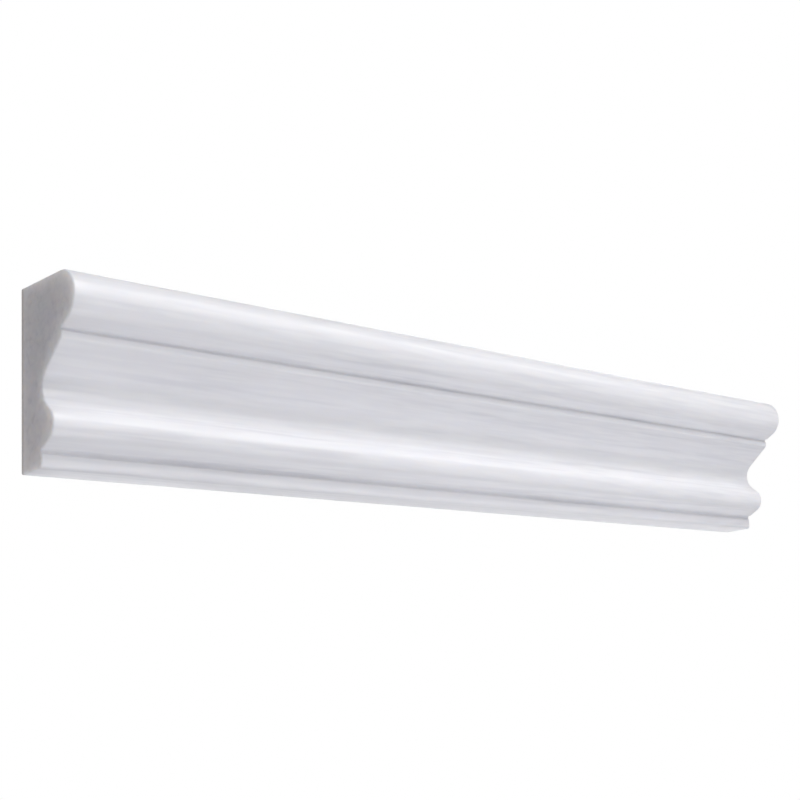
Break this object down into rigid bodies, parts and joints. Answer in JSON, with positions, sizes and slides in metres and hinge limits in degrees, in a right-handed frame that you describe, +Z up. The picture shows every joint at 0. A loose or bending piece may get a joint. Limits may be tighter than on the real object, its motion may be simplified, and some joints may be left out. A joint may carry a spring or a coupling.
{
  "type": "marble moulding",
  "caption": "Straight length of white marble wall trim with a flat back: a large round nose over a quirk, a sloping cove, a small bead and a plain base fillet.",
  "frame": {"origin": "middle of the flat back face, which goes against the wall", "axes": "+X along the length, +Z up with the large nose at the top, and the worked front faces -Y, so +Y points into the wall"},
  "size_m": [0.305, 0.0275, 0.0488],
  "materials": {
    "white_marble": "polished on the worked front, honed on the top, underside and ends, sawn on the back"
  },
  "bodies": {
    "root": {"marble_moulding": "white_marble"}
  },
  "joints": []
}
